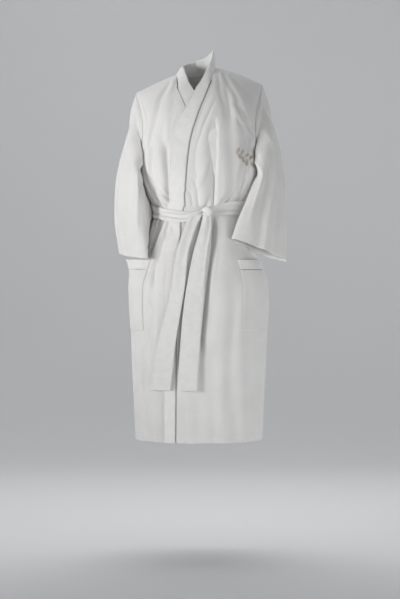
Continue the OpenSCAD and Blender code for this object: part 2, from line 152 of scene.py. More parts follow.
# Each cloth's colour, then what differs from the plain cotton
CLOTHS = {
    "cotton": (WHITE, {}),
    # The band and belt colours are lighter than the plain white: painted light, standing in for the
    # brighter light on the bands and the belt; their wrinkles are their own.
    "band_cotton_painted_brighter": ((0.85, 0.845, 0.835), {"wrinkle": 0.45, "rumple": 40.0}),
    "belt_cotton_painted_brighter": ((0.84, 0.835, 0.825), {"wrinkle": 0.6, "rumple": 55.0}),
    "label_satin": ((0.78, 0.78, 0.77), {"thread": 0.0004, "rough": 0.4, "sheen": 0.1, "wrinkle": 0.1}),
}
# The cord's colour is partly the piping's own grey and partly painted shade of the seam recess that the
# piping lies in.
THREADS = {
    "white_thread": (0.78, 0.77, 0.76), "cord_grey_with_seam_shade": (0.42, 0.41, 0.40), "beige_thread": (0.70, 0.63, 0.56),
}


class Look:
    """A material, with short ways to add nodes and join them."""

    def __init__(self, name):
        self.material = bpy.data.materials.new(name)
        self.material.use_nodes = True
        self.nodes = self.material.node_tree.nodes
        self.main = self.nodes["Principled BSDF"]

    def put(self, node, values):
        """Sets a node's inputs; a value that is another node's output is linked."""
        for key, value in values.items():
            if isinstance(value, bpy.types.NodeSocket):
                self.material.node_tree.links.new(value, node.inputs[key])
            else:
                node.inputs[key].default_value = value
        return node

    def add(self, kind, values):
        return self.put(self.nodes.new("ShaderNode" + kind), values)

    def math(self, operation, a, b=0.0):
        node = self.add("Math", {0: a, 1: b})
        node.operation = operation
        return node.outputs[0]

    def noise(self, at, scale):
        return self.add("TexNoise", {"Scale": scale, "Detail": 3.0, "Vector": at}).outputs["Fac"]

    def bump(self, height, strength, distance):
        values = {"Strength": strength, "Distance": distance, "Height": height}
        return self.add("Bump", values).outputs["Normal"]

    def shade(self, share, colour, dark, start=0.0, end=1.0):
        """From a darker shade of the colour to the colour itself."""
        node = self.add("ValToRGB", {"Fac": share})
        for element, at, part in zip(node.color_ramp.elements, (start, end), (dark, 1.0)):
            element.color = (*(c * part for c in colour), 1)
            element.position = at
        return node.outputs["Color"]


def cloth_material(name, colour, thread=0.0005, rough=0.72, sheen=0.25, wrinkle=0.35, rumple=14.0):
    """Woven cotton: threads crossing along the cloth's own UV lengths, wrinkles and slight shading."""
    look = Look(name)
    at = look.nodes.new("ShaderNodeTexCoord").outputs
    split = look.add("SeparateXYZ", {0: at["UV"]}).outputs
    turns = 2 * math.pi / thread
    warp = look.math("SINE", look.math("MULTIPLY", split["X"], turns))
    weft = look.math("SINE", look.math("MULTIPLY", split["Y"], turns * 0.9))
    weave = look.math("MULTIPLY", warp, weft)
    fine = look.noise(at["Object"], 420.0)
    broad = look.noise(at["Object"], rumple)
    rough_height = look.math("ADD", look.math("MULTIPLY", fine, 0.12), broad)
    height = look.math("ADD", look.math("MULTIPLY", weave, 0.06), rough_height)
    mixed = look.math("ADD", look.math("MULTIPLY", weave, 0.05), broad)
    look.put(look.main, {
        "Roughness": rough, "Sheen Weight": sheen, "Sheen Roughness": 0.5, "Specular IOR Level": 0.25,
        "Normal": look.bump(height, wrinkle, 0.004),
        "Base Color": look.shade(mixed, colour, 0.955, 0.3, 0.6),
    })
    return look.material


def thread_material(name, colour, twist=0.0012):
    """Shiny twisted thread: slanting bands along the cord."""
    look = Look(name)
    at = look.nodes.new("ShaderNodeTexCoord").outputs["Object"]
    wave = look.add("TexWave", {"Scale": 0.3 / twist, "Distortion": 0.6, "Vector": at}).outputs["Fac"]
    look.put(look.main, {
        "Roughness": 0.5, "Sheen Weight": 0.15,
        "Normal": look.bump(wave, 0.5, 0.0004), "Base Color": look.shade(wave, colour, 0.75),
    })
    return look.material


# ---- curves through given rows


def curve(rows, x):
    """Smooth curve through rows of (key, value), as in the CAD source; x may be an array."""
    keys = np.array([r[0] for r in rows], float)
    values = np.array([r[1] for r in rows], float)
    n = len(keys)
    before = np.maximum(np.arange(n) - 1, 0)
    after = np.minimum(np.arange(n) + 1, n - 1)
    run = keys[after] - keys[before]
    vector = values.ndim > 1
    slopes = (values[after] - values[before]) / (run[:, None] if vector else run)
    x = np.clip(np.asarray(x, float), keys[0], keys[-1])
    i = np.clip(np.searchsorted(keys, x, "right") - 1, 0, n - 2)
    h = keys[i + 1] - keys[i]
    t = (x - keys[i]) / h
    if vector:
        t, h = t[..., None], h[..., None]
    return (
        values[i] * (2 * t**3 - 3 * t**2 + 1) + slopes[i] * h * (t**3 - 2 * t**2 + t)
        + values[i + 1] * (3 * t**2 - 2 * t**3) + slopes[i + 1] * h * (t**3 - t**2)
    )


def through(points, t):
    """Smooth curve through evenly spaced points, t from 0 to 1."""
    rows = [(i, p) for i, p in enumerate(points)]
    return curve(rows, np.asarray(t, float) * (len(points) - 1))


def smooth(t):
    t = np.clip(t, 0, 1)
    return t * t * (3 - 2 * t)


def between(x, first, last, fade_in, fade_out):
    """1 between first and last, 0 outside, with soft ends."""
    return smooth((x - first) / fade_in) * smooth((last - x) / fade_out)


def mix(a, b, t):
    return a + (b - a) * t


def unit(v):
    return v / np.maximum(np.linalg.norm(v, axis=-1, keepdims=True), 1e-9)


# ---- the body's surface, as in the CAD source

ROBE_LENGTH = 1205
SHOULDER, CHEST, WAIST, HIP, HEM = 204, 195, 146, 226, 206  # half widths
CHEST_DEPTH, WAIST_DEPTH, HIP_DEPTH = 130, 112, 150  # half depths
WAIST_DROP = 461
ARMHOLE_DROP = 295
ROUNDNESS = 2.3
SHOULDER_ROUND = 200
OVER = 5  # how far the left front lies outside the right front

HALF_WIDTH = [
    (0, SHOULDER), (150, SHOULDER - 4), (300, CHEST + 2), (350, CHEST - 2), (400, CHEST - 22),
    (WAIST_DROP, WAIST), (510, WAIST + 14), (590, HIP - 44), (650, HIP - 18), (710, HIP),
    (900, (HIP + HEM) / 2 + 3), (ROBE_LENGTH, HEM),
]
HALF_DEPTH = [
    (0, CHEST_DEPTH - 12), (180, CHEST_DEPTH - 4), (330, CHEST_DEPTH), (WAIST_DROP, WAIST_DEPTH),
    (560, HIP_DEPTH - 20), (700, HIP_DEPTH - 3), (ROBE_LENGTH, HIP_DEPTH + 2),
]
SHOULDER_LINE = [(-204, -67), (-75, -10), (-10, 2), (55, 13), (130, -8), (204, -40)]
ARMHOLE = [(0, 90), (40, 74), (100, 65), (170, 62), (235, 66), (270, 76), (ARMHOLE_DROP, 90)]
NECK_MIDDLE, NECK_HALF, NECK_BEHIND, NECK_SETTLES, NECK_CUT = -10, 65, 62, 110, 9

LEFT_SEAM = [
    (0, 55), (49, 39), (98, 20), (157, -6), (221, -26), (286, -36), (351, -42),
    (452, -49), (510, -58), (741, -70), (ROBE_LENGTH, -74),
]
RIGHT_SEAM = [
    (0, -77), (41, -75), (80, -60), (117, -45), (200, -5), (280, 25), (360, 45),
    (452, 52), (510, 60), (741, 70), (ROBE_LENGTH, 74),
]
LEFT_EDGE = [
    (40, 9), (74, -15), (124, -42), (172, -72), (254, -85), (351, -94), (436, -99),
    (741, -108), (ROBE_LENGTH, -112),
]
RIGHT_EDGE = [
    (40, -32), (74, -13), (112, 14), (165, 46), (240, 73), (340, 90), (436, 99),
    (741, 108), (ROBE_LENGTH, 112),
]


def base_point(angle, drop):
    """A point of the plain body surface."""
    angle, drop = np.broadcast_arrays(np.asarray(angle, float), np.asarray(drop, float))
    s, c = np.sin(np.radians(angle)), np.cos(np.radians(angle))
    r = (np.abs(s) ** ROUNDNESS + np.abs(c) ** ROUNDNESS) ** (1 / ROUNDNESS)
    across = SHOULDER * s / r
    share = np.clip(1 - ((across - NECK_MIDDLE) / NECK_HALF) ** 2, 0, 1)
    cut = NECK_CUT * share**0.35 * (1 - smooth(drop / NECK_SETTLES))
    above = drop
    drop = np.where(c < 0, drop + cut, drop)
    x = curve(HALF_WIDTH, drop) * s / r
    top = 1 - np.clip(drop / SHOULDER_ROUND, 0, 1)
    full = (1 - top * top) ** 0.75
    y = -curve(HALF_DEPTH, drop) * full * c / r
    z = curve(SHOULDER_LINE, x) * np.maximum(0, 1 - drop / 300) - drop
    behind = NECK_BEHIND * np.sqrt(share) + 0.4 * drop
    back = (c < 0) & (behind > y)
    y = np.where(back, mix(behind, y, smooth(above / NECK_SETTLES)), y)
    return np.stack([x, y, z], -1)


def angle_at(x, drop):
    """Angle round the front at which the plain surface has this x."""
    c = np.clip(x / curve(HALF_WIDTH, drop), -1, 1)
    a = np.abs(c)
    return np.sign(c) * np.degrees(np.arctan2(a, (1 - a**ROUNDNESS) ** (1 / ROUNDNESS)))


def armhole(drop):
    return np.where(drop >= ARMHOLE_DROP, 90.0, curve(ARMHOLE, drop))


# ---- draping

AROUND = 256  # threads counted round the tube
DOWN = 200  # rows from the shoulders to the hem
CLOTH_ROUND = 1235  # girth of the widest cut
# Cut widths: least against the body, against the shoulders, and share of the way to the widest cut
EASE, SHOULDER_EASE, FULLNESS = 1.02, 1.03, 0.6
HOLD, HOLD_REACH = 0.3, (14, 9)  # pull of the broad shape back to the plain surface, rows and threads
CALM, FLATTEN, CALM_REACH = 0.4, 0.58, (5, 3.2)  # smoothing of ripples, more where the cloth lies flat
FOLD_IN, FOLD_OUT = 15, 17  # how far settled folds go in and out of the plain surface
RELAX_STEPS = 34
PASSES = 8

# Folds to start from: points (x, drop) down the fold, how far it stands out (or in), and its half width
FRONT_FOLDS = [
    ([(46, 200), (48, 300), (48, 405), (47, 440)], -19, 10),
    ([(64, 190), (68, 300), (70, 432)], 8, 12),
    ([(46, 484), (42, 560), (24, 700), (4, 920)], -18, 11),
    ([(68, 486), (64, 600), (50, 760)], 7, 14),
    ([(98, 230), (104, 330), (96, 434)], -9, 13),
    ([(136, 330), (128, 390), (112, 438)], -9, 12),
    ([(16, 250), (16, 340), (14, 432)], 5, 14),
    ([(-118, 190), (-116, 320), (-108, 432)], -9, 13),
    ([(-146, 250), (-146, 350), (-132, 436)], -8, 12),
    ([(-132, 230), (-130, 340), (-120, 434)], 7, 11),
    ([(-104, 490), (-124, 600), (-150, 740)], -13, 13),
    ([(-86, 492), (-100, 620), (-118, 780), (-128, 940)], 8, 15),
    ([(-132, 492), (-154, 580), (-176, 680)], -11, 13),
    ([(108, 690), (106, 800), (100, 950), (96, 1130)], -11, 14),
    ([(88, 500), (86, 640), (80, 820)], 7, 15),
    ([(132, 880), (140, 1050), (144, 1205)], 8, 15),
    ([(118, 1060), (114, 1205)], -8, 11),
    ([(-20, 780), (-24, 950), (-26, 1205)], 5, 20),
    ([(44, 920), (48, 1060), (50, 1205)], -6, 18),
    ([(-168, 880), (-172, 1050), (-174, 1205)], -6, 18),
    ([(-140, 960), (-142, 1080), (-140, 1205)], 5, 15),
    ([(84, 30), (122, 90), (150, 180), (162, 260)], -11, 10),
    ([(108, 22), (150, 76), (182, 150)], -9, 11),
    ([(98, 34), (136, 92), (166, 176)], 7, 9),
    ([(62, 60), (84, 130), (100, 230)], -8, 12),
    ([(-118, 50), (-136, 130), (-156, 230)], -7, 13),
    ([(-96, 60), (-104, 150), (-106, 240)], 5, 13),
]
# Sharp folds pressed in after the cloth has settled
PRESSED_FOLDS = [
    ([(54, 195), (52, 300), (49, 400), (47, 440)], -16, 5.5),
    ([(60, 195), (58, 300), (57, 400), (56, 440)], 4, 6.5),
    ([(45, 482), (43, 560), (26, 700), (4, 900)], -13, 7),
    ([(56, 482), (54, 560), (38, 700), (16, 880)], 4, 8),
    ([(-124, 230), (-122, 320), (-114, 428)], 5, 14),
    ([(-104, 250), (-101, 340), (-95, 438)], -8, 9),
    ([(118, 116), (150, 158), (186, 215)], -9, 10),
    ([(122, 142), (154, 188), (184, 244)], 5, 9),
    ([(126, 168), (158, 218), (182, 272)], -7, 9),
    ([(84, 60), (96, 110), (104, 170)], -5, 10),
    ([(-114, 484), (-138, 544), (-152, 584)], -10, 7),
    ([(-104, 490), (-128, 560), (-142, 606)], 4, 8),
    ([(-98, 500), (-122, 585), (-142, 640), (-150, 700)], -7, 8),
    ([(26, 300), (12, 350), (-6, 392)], 3.5, 7),
]
BACK_FOLDS = 17  # vertical folds round the back
CROSS_FOLDS = 16  # soft slanting folds anywhere
ROUND_STIFFNESS, DOWN_STIFFNESS, SLANT_PULL = 0.22, 0.6, 0.25


def pull(a, b, rest, wa, wb, share=1.0, only_short=False):
    """Moves the ends of the threads between a and b towards their rest length."""
    d = b - a
    length = np.sqrt(np.einsum("...i,...i->...", d, d)) + 1e-9
    error = (length - rest) / length
    if only_short:
        error = np.minimum(error, 0)
    step = d * (share * error / (wa + wb + 1e-6))[..., None]
    a += step * wa[..., None]
    b -= step * wb[..., None]


def low_part(field, reach_rows, reach_threads):
    """The broad part of a field over the tube, blurred round it and down it."""
    n = field.shape[1]
    frequency = np.fft.rfftfreq(n) * reach_threads
    keep = np.exp(-2 * (math.pi * frequency) ** 2)[None, :, None]
    field = np.fft.irfft(np.fft.rfft(field, axis=1) * keep, n, axis=1)
    pad = int(3 * reach_rows)
    kernel = np.exp(-0.5 * (np.arange(-pad, pad + 1) / reach_rows) ** 2)
    kernel /= kernel.sum()
    wide = np.pad(field, ((pad, pad), (0, 0), (0, 0)), mode="edge")
    size = wide.shape[0] + len(kernel) - 1
    spectrum = np.fft.rfft(wide, size, axis=0) * np.fft.rfft(kernel, size)[:, None, None]
    return np.fft.irfft(spectrum, size, axis=0)[2 * pad : 2 * pad + field.shape[0]]


def drawn_folds(folds, angles, drops, start):
    """Height of listed folds, at each point of the front of the tube."""
    height = np.zeros(start.shape[:2])
    front = np.cos(np.radians(angles))[None, :] > -0.2
    for path, depth, half in folds:
        rows = [(d, x) for x, d in path]
        low, high = rows[0][0], rows[-1][0]
        x = curve(rows, drops)[:, None]
        ends = between(drops, low - 30, high + 30, 60, 60)
        across = (start[..., 0] - x) / half
        height += np.where(front, depth * np.exp(-across * across) * ends[:, None], 0)
    return height


def fold_field(angles, drops, start):
    """How far the starting folds stand out at each point of the tube."""
    height = drawn_folds(FRONT_FOLDS, angles, drops, start)
    random = np.random.default_rng(SEED)
    turn, down = angles[None, :], drops[:, None]
    for i in range(BACK_FOLDS):
        centre = 98 + 164 * (i + random.uniform(-0.25, 0.25)) / (BACK_FOLDS - 1)
        lean = random.uniform(-0.012, 0.012)
        depth = random.uniform(6, 11) * (1 if i % 2 else -1)
        top = random.uniform(120, 380)
        off = (turn - centre - lean * (down - WAIST_DROP)) / random.uniform(3.4, 4.6)
        height += depth * np.exp(-off * off) * smooth((down - top) / 150)
    for _ in range(CROSS_FOLDS):
        centre, middle = random.uniform(0, 360), random.uniform(120, 1150)
        lean = random.uniform(-0.05, 0.05)
        away = (turn - centre - lean * (down - middle) + 180) % 360 - 180
        size, length = random.uniform(3.5, 6.5), random.uniform(50, 130)
        bump = np.exp(-((away / size) ** 2) - ((down - middle) / length) ** 2)
        height += random.uniform(-3.5, 3.5) * bump
    return height


def surface_normals(points, axis=1):
    """Outward normals of a tube whose points run round it along this axis."""
    around = np.roll(points, -1, axis) - np.roll(points, 1, axis)
    return unit(np.cross(np.gradient(points, axis=1 - axis), around))


def freedom(plain, drops, turned):
    """How freely each point moves, first without and then with the doubled band's hold."""
    down, reach = drops[:, None], armhole(drops)[:, None]
    sewn = smooth((turned - reach + 8) / 8) * smooth((180 - turned - reach + 8) / 8)
    sewn[drops > ARMHOLE_DROP - 10] = 0
    free = (1 - sewn) * smooth((down - 14) / 50)
    x = plain[..., 0]
    in_v = (x > curve(RIGHT_SEAM, down)) & (x < curve(LEFT_SEAM, down)) & (down < 130) & (turned < 90)
    free[in_v] = 0
    free = free * smooth((np.abs(down - WAIST_DROP) - 17) / 12)
    band_middle = (curve(LEFT_SEAM, down) + curve(LEFT_EDGE, down)) / 2
    off_band = np.maximum(np.abs(x - band_middle) - 30, 0)
    return free, free * np.where(turned < 90, 0.15 + 0.85 * smooth(off_band / 26), 1)


def pull_round(points, loose, rest, apart, share=1.0, only_short=False):
    """Pulls on threads this far apart round the tube, one half of the pairs and then the other."""
    shape = (DOWN, AROUND // (2 * apart), 2 * apart)
    for turn in (0, apart):
        part = np.roll(points, -turn, 1).reshape(*shape, 3)
        held = np.roll(loose, -turn, 1).reshape(shape)
        length = np.roll(rest, -turn, 1).reshape(shape)[:, :, :apart]
        pull(part[:, :, :apart], part[:, :, apart:], length,
             held[:, :, :apart], held[:, :, apart:], share, only_short)
        points = np.roll(part.reshape(DOWN, AROUND, 3), turn, 1)
    return points


def pull_down(points, loose, down, crossed):
    """Pulls on neighbours down the tube, straight and slanting both ways."""
    for first in (0, 1):
        last = (DOWN - first) // 2 * 2 + first
        upper, lower = slice(first, last, 2), slice(first + 1, last, 2)
        for turn, rest, share in ((0, down, 1.0), (-1, crossed, SLANT_PULL), (1, crossed, SLANT_PULL)):
            below = np.roll(points[lower], turn, 1)
            held = np.roll(loose[lower], turn, 1)
            pull(points[upper], below, rest[first:last - 1:2], loose[upper], held, share)
            points[lower] = np.roll(below, -turn, 1)


def straighten_down(points, loose, rest):
    """Keeps rows two apart from closing up, so that the cloth doesn't crease sharply across."""
    for first in (0, 2):
        rows = (DOWN - first) // 4 * 4
        part, held, length = (
            field[first:first + rows].reshape(rows // 4, 4, *field.shape[1:])
            for field in (points, loose, rest)
        )
        pull(part[:, 0:2], part[:, 2:4], length[:, 0:2], held[:, 0:2], held[:, 2:4], DOWN_STIFFNESS, True)
        points[first:first + rows] = part.reshape(rows, AROUND, 3)


def relax(plain, out, points, loose, drops):
    """Lets the threads settle at their cut lengths, with some stiffness against bending."""
    # below the armholes the tube is cut wider than the body; above them the panels fit the shoulders
    gaps = np.linalg.norm(np.roll(plain, -1, 1) - plain, axis=-1)
    full = np.maximum(gaps * EASE, mix(gaps, CLOTH_ROUND / AROUND, FULLNESS))
    across = mix(gaps * SHOULDER_EASE, full, smooth((drops - 60) / 260)[:, None])
    down = np.linalg.norm(plain[1:] - plain[:-1], axis=-1)
    crossed = np.sqrt(across[:-1] ** 2 + down**2)
    two_across = across + np.roll(across, -1, 1)
    two_down = np.pad(down[1:] + down[:-1], ((0, 2), (0, 0)), mode="edge")
    for _ in range(RELAX_STEPS):
        for _ in range(PASSES):
            points = pull_round(points, loose, across, 1)
            pull_down(points, loose, down, crossed)
            points = pull_round(points, loose, two_across, 2, ROUND_STIFFNESS, True)
            straighten_down(points, loose, two_down)
        moved = points - plain
        moved -= HOLD * low_part(moved, *HOLD_REACH) * loose[..., None]
        height = np.einsum("...i,...i->...", moved, out)
        kept = np.clip(height, -FOLD_IN, FOLD_OUT)
        points = plain + moved + out * (kept - height)[..., None]
    return points


def drape_tube():
    """The plain body surface, and a tube of cloth, cut wider, that hangs round it in folds."""
    angles = np.arange(AROUND) * 360.0 / AROUND
    drops = np.linspace(0, ROBE_LENGTH, DOWN)
    plain = base_point(angles[None, :], drops[:, None])
    out = surface_normals(plain)
    turned = np.abs((angles + 180) % 360 - 180)[None, :]
    free, loose = freedom(plain, drops, turned)
    points = plain + out * (fold_field(angles, drops, plain) * loose)[..., None]
    moved = relax(plain, out, points, loose, drops) - plain
    calm = low_part(moved, *CALM_REACH)
    # the left hip and the right pocket lie nearly flat
    hip = smooth((angles[None, :] - 17) / 12) * between(drops, 462, 800, 24, 120)[:, None]
    pocket = smooth((turned - 44) / 8) * between(drops, 585, 900, 24, 60)[:, None]
    still = np.where(angles[None, :] < 180, hip, pocket)
    points = plain + mix(moved, calm, (CALM + FLATTEN * still)[..., None])
    points += out * (drawn_folds(PRESSED_FOLDS, angles, drops, plain) * free)[..., None]
    return plain, points


class Drape:
    """The draped surface, read at any angle and drop."""

    def __init__(self):
        plain, self.points = drape_tube()
        self.normals = surface_normals(self.points)
        self.plain_normals = surface_normals(plain)

    def read(self, grid, angle, drop):
        """Cubic reading of a field on the tube."""
        angle, drop = np.broadcast_arrays(np.asarray(angle, float), np.asarray(drop, float))
        u = (angle % 360) / 360 * AROUND
        v = np.clip(drop / ROBE_LENGTH * (DOWN - 1), 0, DOWN - 1 - 1e-6)
        i, j = np.floor(u).astype(int), np.floor(v).astype(int)
        total = 0
        for n, row_share in enumerate(self.weights(v - j)):
            row = np.clip(j + n - 1, 0, DOWN - 1)
            for m, share in enumerate(self.weights(u - i)):
                total = total + (row_share * share)[..., None] * grid[row, (i + m - 1) % AROUND]
        return total

    @staticmethod
    def weights(t):
        return (
            -0.5 * t + t * t - 0.5 * t**3, 1 - 2.5 * t * t + 1.5 * t**3,
            0.5 * t + 2 * t * t - 1.5 * t**3, -0.5 * t * t + 0.5 * t**3,
        )

    def at(self, angle, drop, lift=0.0):
        normal = unit(self.read(self.normals, angle, drop))
        return self.read(self.points, angle, drop) + normal * np.asarray(lift, float)[..., None]

    def off_plain(self, angle, drop, lift):
        """Points this far off the plain body surface."""
        return base_point(angle, drop) + self.read(self.plain_normals, angle, drop) * lift[:, None]

    def at_x(self, x, drop, lift=0.0):
        return self.at(angle_at(x, drop), drop, lift)


# ---- meshes from grids of points


def grid_object(name, points, closed=False, flip=False):
    """Quads through points[i][j], UV lengths in metres; closed joins the last column to the first."""
    points = np.asarray(points, float) * MM
    m, n = points.shape[:2]
    columns = m if closed else m - 1
    across = np.linalg.norm(np.roll(points, -1, 0) - points, axis=-1).mean(1)
    along = np.linalg.norm(np.diff(points, axis=1), axis=-1).mean(0)
    u = np.concatenate([[0], np.cumsum(across)])
    v = np.concatenate([[0], np.cumsum(along)])
    turn = -1 if flip else 1
    faces, uv = [], []
    for i in range(columns):
        a, b = i * n, (i + 1) % m * n
        for j in range(n - 1):
            faces.append((a + j, a + j + 1, b + j + 1, b + j)[::turn])
            uv += [(u[i], v[j]), (u[i], v[j + 1]), (u[i + 1], v[j + 1]), (u[i + 1], v[j])][::turn]
    piece = mesh_object(name, points.reshape(-1, 3).tolist(), faces)
    piece.data.uv_layers.new(name="cloth").data.foreach_set("uv", np.array(uv).ravel())
    piece.data.validate()
    return piece


def thicken(piece, thickness):
    """Gives a sheet its thickness inwards, with rounded edges."""
    solid = piece.modifiers.new("thickness", "SOLIDIFY")
    solid.thickness = thickness * MM
    solid.offset = -1
    solid.use_even_offset = False
    solid.thickness_clamp = 1.0
    rounding = piece.modifiers.new("rounding", "SUBSURF")
    rounding.levels = rounding.render_levels = 1


def apply_modifiers(piece):
    graph = bpy.context.evaluated_depsgraph_get()
    data = bpy.data.meshes.new_from_object(piece.evaluated_get(graph))
    piece.modifiers.clear()
    piece.data = data


def dress(piece, node, material, body="robe"):
    """Puts a piece in the model, for this CAD node; a piece without a body is left unattached."""
    piece.data.materials.clear()
    piece.data.materials.append(material)
    if body:
        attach(piece, body)
    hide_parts(node)


def add_sheet(name, grid, thickness, node, slot, material, body="robe", **shape):
    piece = grid_object(name, grid, **shape)
    thicken(piece, thickness)
    dress(piece, node, material, body)
    return piece


def tube_object(name, path, radius, sides=8):
    """Round cord along a path, closed at both ends."""
    along = unit(np.gradient(path, axis=0))
    side = unit(np.cross(along, np.array([0.31, 0.9, 0.3])))
    other = np.cross(along, side)
    turn = 2 * math.pi * np.arange(sides) / sides
    ring = np.cos(turn)[:, None, None] * side + np.sin(turn)[:, None, None] * other
    taper = np.ones(len(path))
    taper[0] = taper[-1] = 0.02
    return grid_object(name, path + ring * (radius * taper)[None, :, None], closed=True)


def add_bar(verts, faces, rings):
    """A closed bar through rings of the same number of points."""
    first, n = len(verts), len(rings[0])
    for ring in rings:
        verts.extend(ring)
    last = first + (len(rings) - 1) * n
    for p in range(first, last, n):
        for k in range(n):
            after = (k + 1) % n
            faces.append((p + k, p + after, p + n + after, p + n + k))
    faces.append(tuple(first + k for k in reversed(range(n))))
    faces.append(tuple(last + k for k in range(n)))


STITCH_PITCH, STITCH_LENGTH, STITCH_WIDTH = 3.6, 2.5, 0.55
STITCH_CORNERS = ((-1, 0.5), (1, 0.5), (1, -0.3), (-1, -0.3))


def topstitch(name, rows, thread, body="robe"):
    """Rows of topstitching, each stitch a small raised bar; rows are (points, normals) down a seam."""
    verts, faces = [], []
    for path, normals in rows:
        run = np.concatenate([[0], np.cumsum(np.linalg.norm(np.diff(path, axis=0), axis=1))])
        for start in np.arange(STITCH_PITCH, run[-1] - STITCH_PITCH, STITCH_PITCH):
            a, b, normal = (
                np.array([np.interp(at, run, field[:, k]) for k in range(3)])
                for at, field in ((start, path), (start + STITCH_LENGTH, path), (start, normals))
            )
            normal = unit(normal)
            side = unit(np.cross(b - a, normal)) * STITCH_WIDTH / 2
            corners = [side * x + normal * STITCH_WIDTH * y for x, y in STITCH_CORNERS]
            add_bar(verts, faces, [[end + corner for corner in corners] for end in (a, b)])
    piece = mesh_object(name, (np.array(verts) * MM).tolist(), faces, smooth_faces=False)
    piece.data.materials.append(thread)
    if body:
        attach(piece, body)
    return piece


def sheet_normals(grid):
    return unit(np.cross(np.gradient(grid, axis=1), np.gradient(grid, axis=0)))


# ---- panels

CLOTH = 1.6  # thickness of one layer
HEM_FOLD = 22  # from the hem's edge to its stitching
SEAM_GAP = 0.7  # from a band's seam to the panel's edge
NECK_TUCK = 5  # how far a panel reaches under the collar at the shoulder
SIDE_GAP = 0.15  # degrees from a side seam to each panel's edge


def left_lift(x, drop):
    """The left front lies over the right one in the middle, and joins the back at the side."""
    return OVER * smooth((drop - 15) / 70) * (1 - smooth((x - 108) / 62))


def no_lift(x, drop):
    return np.zeros(np.broadcast(x, drop).shape)


def panel_grid(first, last, columns, lift):
    """A panel between two edges, given as angles at each drop."""
    drops = np.linspace(0, ROBE_LENGTH, DOWN)
    angle = mix(first(drops)[None, :], last(drops)[None, :], np.linspace(0, 1, columns)[:, None])
    x = base_point(angle, drops)[..., 0]
    return drape.at(angle, drops[None, :], lift(x, drops[None, :]) + CLOTH)


def make_panels(cotton, thread):
    left = panel_grid(
        lambda d: angle_at(curve(LEFT_SEAM, d) + SEAM_GAP - NECK_TUCK * smooth((60 - d) / 40), d),
        lambda d: armhole(d) - SIDE_GAP, 84, left_lift,
    )
    right = panel_grid(
        lambda d: SIDE_GAP - armhole(d),
        lambda d: angle_at(curve(RIGHT_SEAM, d) - SEAM_GAP + NECK_TUCK * smooth((66 - d) / 30), d),
        84, no_lift,
    )
    back = panel_grid(
        lambda d: armhole(d) + SIDE_GAP + 2 * (90 - armhole(d)),
        lambda d: 270 - SIDE_GAP - (90 - armhole(d)), 150, no_lift,
    )
    for name, node, grid in (
        ("left_front", "left_front_panel", left), ("right_front", "right_front_panel", right),
        ("back", "back_panel", back),
    ):
        add_sheet(name, grid, CLOTH, node, "cloth", cotton)
    row = int(round((1 - HEM_FOLD / ROBE_LENGTH) * (DOWN - 1)))
    rows = [(grid[2:-2, row], sheet_normals(grid)[2:-2, row]) for grid in (left, right, back)]
    topstitch("hem_stitching", rows, thread)


# ---- front bands

BAND = 3.2  # thickness of the doubled band
PIPING = 1.1  # radius of the cord
LEFT_NECK_SEAM = [
    (-10, 66, -10), (26, 57, -2), (48, 30, 10), (54, 2, 16), (49, -27, -4), (41, -55, -28),
]
LEFT_NECK_EDGE = [
    (-10, 60, 43.5), (22, 52, 56), (42, 28, 68), (49, 0, 72), (40, -30, 38), (22, -50, -2),
]
RIGHT_NECK_SEAM = [
    (-10, 66, -10), (-50, 54, -14), (-71, 30, -12), (-77, 2, -9), (-75, -26, -28), (-71, -46, -44),
]
RIGHT_NECK_EDGE = [
    (-10, 60, 43.5), (-36, 50, 36), (-50, 24, 26), (-53, 0, 20), (-47, -26, 2), (-38, -46, -22),
]
# Creases across the right side of the collar: run from the back of the neck, slant and depth
COLLAR_CREASES = [
    (112, 16, -2.2), (128, -10, 1.8), (142, 18, -2.4), (158, 12, 2.0), (174, -12, -2.2), (190, 14, 1.6),
]
BAND_STARTS = 60  # drop of the seam where the band leaves the neck and lies on the chest
BAND_COLUMNS, BAND_PUFF, BAND_RIPPLES = 9, 0.9, 9


def ahead(drop):
    """The free edge of a band runs ahead of its seam where the band slants across the chest."""
    return 20 * (1 - smooth((drop - 110) / 250))


def band_side(neck, rows, lift, toward, early):
    drops = np.concatenate([np.arange(BAND_STARTS, ROBE_LENGTH, 7.0), [ROBE_LENGTH]])
    at = drops - early * ahead(drops)
    body = drape.at_x(curve(rows, at) + toward, at, lift * smooth((at + 30) / 90))
    return np.concatenate([through(neck, np.linspace(0, 0.97, 46)), body])


def band_grid(seam, edge, normal, creases):
    """Points across the band: slightly padded in the middle, and drawn tight at its seam."""
    run = np.cumsum(np.linalg.norm(np.gradient(seam, axis=0), axis=1))
    random = np.random.default_rng(SEED + 3)
    parts = [random.uniform(low, high, BAND_RIPPLES) for low, high in ((0.1, 0.35), (5, 26), (0, 6))]
    ripple = sum(a * np.sin(run / w + p) for a, w, p in zip(*parts))
    share = np.linspace(0, 1, BAND_COLUMNS)
    rows = []
    for s, rise in zip(share, BAND_PUFF * np.sin(math.pi * share) ** 0.6):
        height = rise + ripple * math.sin(math.pi * s * 0.75)
        for at, slant, depth in creases:
            off = (run - at - slant * s) / 4.5
            height = height + depth * np.exp(-(off ** 2)) * math.sin(math.pi * s) ** 0.5
        rows.append(mix(seam, edge, s) + normal * height[:, None])
    return np.stack(rows)


